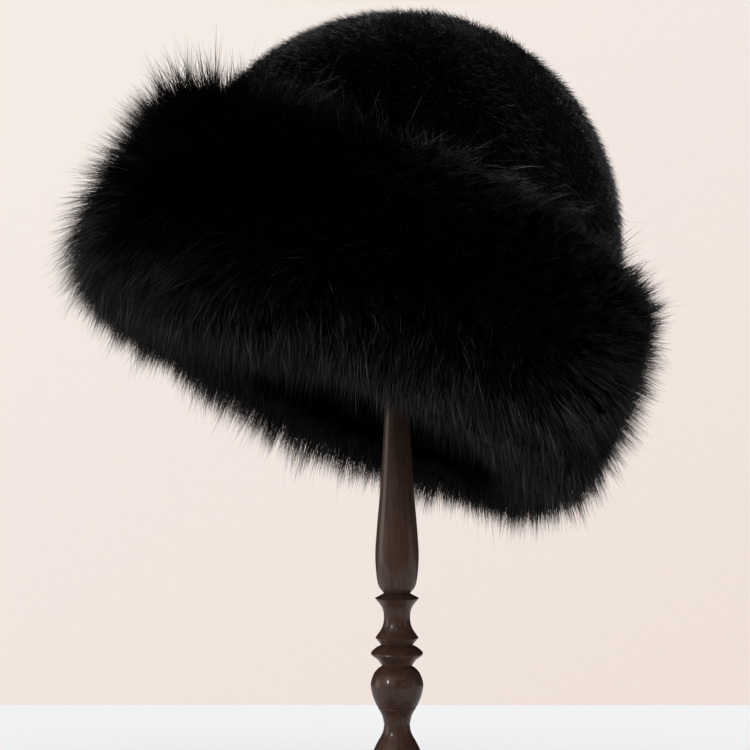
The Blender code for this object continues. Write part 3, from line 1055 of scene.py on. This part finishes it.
def ridge_part(share, turn):
    """How much a place is on the ridge: its top part, times how far in front, times a rise to right."""
    return top_part(share) * np.maximum(-np.sin(turn), 0.0) * rising(np.cos(turn), RIDGE_FROM, RIDGE_OVER)


def trimmed(share, turn):
    """Length by place: 1, plus each side's amount times how far the place points to that side.

    It points right by the cosine of its turn and behind by the sine, and left and in front by minus
    those. The two sides together count by a square root, and a diagonal by one side's square times
    the other side.
    """
    right, rear = np.cos(turn), np.sin(turn)
    to_right, to_left = np.maximum(right, 0.0), np.maximum(-right, 0.0)
    to_rear, to_front = np.maximum(rear, 0.0), np.maximum(-rear, 0.0)
    lower = LOWER_BEHIND * rear + LOWER_FAR_BEHIND * to_rear + LOWER_SIDES * np.sqrt(np.abs(right))
    lower = lower + LOWER_RIGHT_BEHIND * to_right ** 2 * to_rear + LOWER_LEFT * to_left
    lower = lower + LOWER_LEFT_FRONT * to_front ** 2 * to_left
    upper = UPPER_RIGHT * to_right + UPPER_LEFT * to_left
    low = lower_part(share)
    return 1.0 + low * lower + (1.0 - low) * upper


for side, degrees in (("front", -90), ("front left", -135), ("left", 180), ("rear", 90)):
    times = float(trimmed(1.0, math.radians(degrees)))
    print("lower edge at the", side + ":", round(times, 2), "times the length")

# %% [markdown]
# ## How lengths vary in one place
#
# In one place most hairs end near one length, and fewer and fewer go on beyond it, which frays the
# outline into single hairs. Lengths that are drawn evenly would end in a hard line. An exponential
# draw gives the fray, and its longest hairs are eased so that none runs wild. Behind and at the
# left the lower edge was cut more evenly, and along the top edge hairs end anywhere.

# %% Length by chance
# How much shorter the corner is, and how much more lengths spread there and at the sides
CORNER_SHORTENS = 0.85
CORNER_SPREADS = 1.2
SIDES_SPREAD = 0.35
# Lengths past the first value are eased into the room beyond it, and in the corner later
EASED_FROM = 1.00
CORNER_EASED_LATER = 0.25
EASED_ROOM = 0.24
# The length that evenly cut fur tends to, how strongly, and how much of that at the left
EVEN_REACH = 1.02
EVENED = 0.80
LEFT_EVENED = 0.5
# How the top edge frays, and the ridge on it
TOP_FRAY = 0.55
TOP_LONGEST = 1.5
TOP_SHORTER_RIGHT = 0.3
TOP_CUT = 0.9
RIDGE_FRAY = 1.2


def eased(reach, start, room):
    """Reach, eased past a start so that it never goes beyond start + room.

    Past the start it is start + room (1 - exp(-past / room)).
    """
    past = np.maximum(reach - start, 0.0)
    return np.minimum(reach, start) + room * (1.0 - np.exp(-past / room))


def hair_reach(share, turn, shortest, spread, past):
    """Length as a share of the way to the line of the tips: shortest plus spread times a drawn number.

    Its longest are eased, and where the fur is cut evenly it is drawn towards one length.
    """
    right, rear = np.cos(turn), np.sin(turn)
    low, corner = lower_part(share), corner_part(share, turn)
    spread = spread * (1.0 + CORNER_SPREADS * corner + SIDES_SPREAD * (1.0 - low) * np.abs(right))
    reach = shortest * (1.0 - CORNER_SHORTENS * corner) + spread * past
    reach = eased(reach, EASED_FROM + CORNER_EASED_LATER * corner, EASED_ROOM)
    even = low * np.maximum(rear, -LEFT_EVENED * right).clip(0.0)
    return reach + (EVEN_REACH - reach) * EVENED * even


def frayed(share, turn, wisp, own):
    """Length along the top edge, by the cube of a number that is half the tuft's and half the hair's.

    Whole wisps stand out along the ridge, by the fifth power of their tuft's number.
    """
    mixed = (wisp + own) / 2
    longest = TOP_LONGEST - TOP_SHORTER_RIGHT * np.cos(turn)
    length = 1.0 + TOP_FRAY * top_part(share) * (longest * mixed ** 3 - TOP_CUT)
    return length + RIDGE_FRAY * ridge_part(share, turn) * wisp ** 5


print("a reach of 2 is eased to", round(float(eased(2.0, EASED_FROM, EASED_ROOM)), 2))

# %% [markdown]
# ## Where the hairs stand, and how far they may reach
#
# The thicker guard hairs don't stand evenly. The photograph shows them along the top edge and in
# the lower half, with a dark band between. Chance alone would not place them so. A running sum of
# how crowded each place is, turned round, spreads an even scatter that way. At the end every hair
# of the cuff is drawn back where it would pass a box 16 mm outside the solids, as shears would cut.

# %% Crowding and trimming
# (share of the way down the cuff, how thickly the guard hairs stand there)
GUARD_CROWDING = (
    (0.00, 1.4), (0.08, 1.4), (0.18, 0.15), (0.46, 0.15), (0.62, 1.5), (0.80, 1.5), (1.00, 0.8),
)
CROWDING_STEPS = 400
OVERHANG = 0.016
TRIM_LOW = np.array(cad_low) - OVERHANG
TRIM_HIGH = np.array(cad_high) + OVERHANG


def crowded(evenly):
    """Shares from 0 to 1, spread so that their number follows GUARD_CROWDING: its running sum, inverted."""
    places, crowding = np.array(GUARD_CROWDING).T
    fine = np.linspace(0.0, 1.0, CROWDING_STEPS)
    running = np.cumsum(np.interp(fine, places, crowding))
    return np.interp(evenly, (running - running[0]) / (running[-1] - running[0]), fine)


def cut_to_box(root, points):
    """Points drawn back to their root where they pass the box, by the least room over the way to go."""
    way = points - root
    room = np.where(way > 0.0, TRIM_HIGH, TRIM_LOW) - root
    kept = np.min(room / np.where(np.abs(way) < TINY, TINY, way), axis=-1, keepdims=True)
    return root + way * np.clip(kept, 0.0, 1.0)


print("half of the guard hairs stand above a share of", round(float(crowded(0.5)), 2))

# %% [markdown]
# ## The line of a hair
#
# A hair of the cuff is about 40 mm long on the real hat. Only the stretch beyond the core shows, so
# only that is made. It stands out from the core, sways with its neighbours in slow waves, hangs
# more and more towards the lower edge, and sags a little at its tip. A hair simulation could find
# that, but it would be slow and would shift with each change. Here the tip's direction is a mean of
# the way to its aim and straight down, and guard hairs get one more point, which bends them.

# %% Hair lines
# How much of a hair's direction is straight down at the lower edge, and where that sets in
HANG = 0.45
HANG_FROM, HANG_OVER = 0.40, 0.35
# How far the waves carry a tip: round the hat in radians, and down the cuff as a share
SWAY = 0.05
TOP_SWAY = 0.06
SWAY_DOWN = 0.012
# How far a tip of full length sags, in metres
SAG = 0.0012
# How far along a guard hair its bend is, and how much of it goes straight out
BEND_AT = 0.55
BEND_OUTWARD = 0.65

# Straight down, as the upright hat has it
straight_down = np.array((0.0, 0.0, -1.0)) @ lean


def hair_aim(share, turn, tip_share, tip_turn):
    """Point that a tip reaches for: its tuft's share and turn on the line of the tips, both swayed."""
    sway = SWAY * ripple(share, turn, SEEDS["sway"])
    top_sway = ripple(share, turn, SEEDS["top sway"], waves=8, finest=24)
    sway = sway + TOP_SWAY * top_part(share) * top_sway
    down = SWAY_DOWN * ripple(share, turn, SEEDS["sway down"])
    return cuff_reach(np.clip(tip_share + down, 0.0, 1.0), tip_turn + sway)


def hair_lines(share, turn, aim, length, bends):
    """Stations from root to tip in the leaning hat.

    The tip lies at the length times the way to its aim, in the mean direction of that way and of
    straight down, weighted by the hang, and it sags by the square of the length. A middle point lies
    between the way straight out and the way to the tip.
    """
    root = cuff_core(share, turn)
    length = length[:, None]
    full = np.linalg.norm(aim - root, axis=1, keepdims=True)
    hang = HANG * rising(share, HANG_FROM, HANG_OVER)[:, None]
    tip = root + unit((aim - root) / full * (1.0 - hang) + straight_down * hang) * full * length
    points = [root, tip]
    if bends:
        outward = cuff_reach(share, turn) - root
        bend = outward * BEND_OUTWARD + (tip - root) * (1.0 - BEND_OUTWARD) / length
        points.insert(1, root + bend * BEND_AT * length)
    stations = leaning(np.stack(points))
    stations[-1, :, 2] -= SAG * length[:, 0] ** 2
    stations[1:] = cut_to_box(stations[0], stations[1:])
    return stations


print("straight down is", straight_down.round(2).tolist(), "in the upright hat")

# %% [markdown]
# ## One layer of hairs
#
# The cuff has three layers: a short fill close to the under-fur, a fringe of fine hairs that makes
# the frayed outline, and guard hairs that curve over both, which the eye follows. One kind of hair
# would look like wire or like felt. A few guard hairs are thick and pale, most are thin and dark,
# by a high power of a drawn number. Where the photograph shows a dark band, and under the lower
# edge, they get painted shade: they are drawn darker and thinner. On the ridge their wisps get a
# stronger painted highlight.

# %% Grow a layer
QUARTERS = ("front", "right", "back", "left")
QUARTER_TURN = math.tau / len(QUARTERS)
# How strongly tufts draw a hair, and how much more on the ridge
PULL_LEAST, PULL_MOST = 0.4, 1.2
RIDGE_PULL = 0.5
# How far a tip strays from its aim, in metres, and how much less on the ridge
SCATTER = 0.0012
BENT_SCATTER = 0.0024
RIDGE_TIDIER = 0.7
# Where guard hairs get painted shade, drawn darker and thinner, and how much
SHADE_UNDER_FROM, SHADE_UNDER_OVER = 0.80, 0.10
SHADE_BAND, SHADE_BAND_SIZE = 0.28, 0.18
SHADE_DARKER = 0.7
SHADE_THINNER = 0.4
# How a hair's number follows its tuft, how much paler the ridge's wisps are drawn as a painted
# highlight, and how the number makes the hair pale and thick
TONE_LEAST, TONE_BY_TUFT = 0.60, 0.55
RIDGE_HIGHLIGHT = 0.7
TONE_POWER = 5
BEND_NARROWER = 0.75
THINNEST = 0.75
THICKER = 0.7


def guard_look(share, ridge, tuft, wisp, own):
    """A guard hair's number from 0 to 1, by its own, its tufts' and its place, and its share of painted
    shade.
    """
    # Painted shade: under the lower edge and in the band across the middle, the number is cut down, which
    # darkens the hair
    shade_share = rising(share, SHADE_UNDER_FROM, SHADE_UNDER_OVER)
    shade_share = shade_share + np.clip(1.0 - np.abs(share - SHADE_BAND) / SHADE_BAND_SIZE, 0.0, 1.0)
    number = own * (1.0 - SHADE_DARKER * shade_share) * (TONE_LEAST + TONE_BY_TUFT * tuft)
    # Painted highlight: wisps on the ridge are drawn paler
    return np.minimum(number + RIDGE_HIGHLIGHT * ridge * wisp ** 3, 1.0), shade_share


def cuff_hairs(name, count, first_turn, bends, shortest, spread, width, seed):
    """One layer of one quarter: scattered roots, tips gathered into tufts, and a spike along each line."""
    rng = np.random.default_rng(seed)
    pairs = even_pairs(count, seed)
    share = crowded(pairs[:, 0]) if bends else pairs[:, 0]
    turn = first_turn + QUARTER_TURN * pairs[:, 1]
    ridge = ridge_part(share, turn)

    pull = rng.uniform(PULL_LEAST, PULL_MOST, count) * (1.0 + RIDGE_PULL * ridge)
    tip_share, tip_turn, length, (_, tuft, wisp) = gathered(share, turn, pull)
    length = length * frayed(share, turn, wisp, rng.uniform(0.0, 1.0, count)) * trimmed(share, turn)
    length = length * hair_reach(share, turn, shortest, spread, rng.exponential(1.0, count))

    scatter = (BENT_SCATTER if bends else SCATTER) * (1.0 - RIDGE_TIDIER * ridge)[:, None]
    aim = hair_aim(share, turn, tip_share, tip_turn) + scatter * rng.normal(0.0, 1.0, (count, 3))
    stations = hair_lines(share, turn, aim, length, bends)
    stretch = np.linalg.norm(stations[-1] - stations[0], axis=-1).mean()
    print(name, "hairs stand out", round(1000 * float(stretch), 1), "mm on average")

    number = rng.uniform(0.0, 1.0, count)
    station_widths = np.full((len(stations) - 1, 1), width)
    if bends:
        # Guard hairs in painted shade are drawn darker and thinner
        number, shade_share = guard_look(share, ridge, tuft, wisp, number)
        station_widths = np.array([[1.0], [BEND_NARROWER]]) * width * (1.0 - SHADE_THINNER * shade_share)
    # The hair's number sets how thick it is and how strongly its painted highlight shows
    tone = number ** TONE_POWER
    return hair_mesh(name, stations, station_widths * (THINNEST + THICKER * tone), tone)


print("each layer grows in", len(QUARTERS), "quarters of", round(math.degrees(QUARTER_TURN)), "degrees")

# %% [markdown]
# ## The whole cuff
#
# The three layers are grown in four quarters, so that no mesh is too large to handle. A quarter is
# only a range of turns: tufts and waves run on across its border, and no seam shows. More and
# thinner hairs would come closer to real fur, but these are as many as a shared model should carry.

# %% Grow the cuff
# columns: name, fibre, hairs in a quarter, whether they bend, shortest reach, how far reaches
# spread, width at the root
LAYERS = (
    ("fill", fine_fibre, 14000, False, 0.48, 0.13, 0.00044),
    ("guard", guard_fibre, 7000, True, 0.68, 0.12, 0.00036),
    ("fringe", fine_fibre, 14000, False, 0.71, 0.23, 0.00027),
)
FIRST_TURN = -0.75 * math.pi
SEED_STEP = 10

print("hairs on the cuff:", len(QUARTERS) * sum(row[2] for row in LAYERS))
for place, quarter in enumerate(QUARTERS):
    for number, (layer, fibre, count, *shape) in enumerate(LAYERS):
        name = f"cuff_{layer}_{quarter}"
        seed = SEEDS["cuff"] + SEED_STEP * place + number
        mesh = cuff_hairs(name, count, FIRST_TURN + place * QUARTER_TURN, *shape, seed=seed)
        add_piece(name, mesh, fibre, "long_fur")
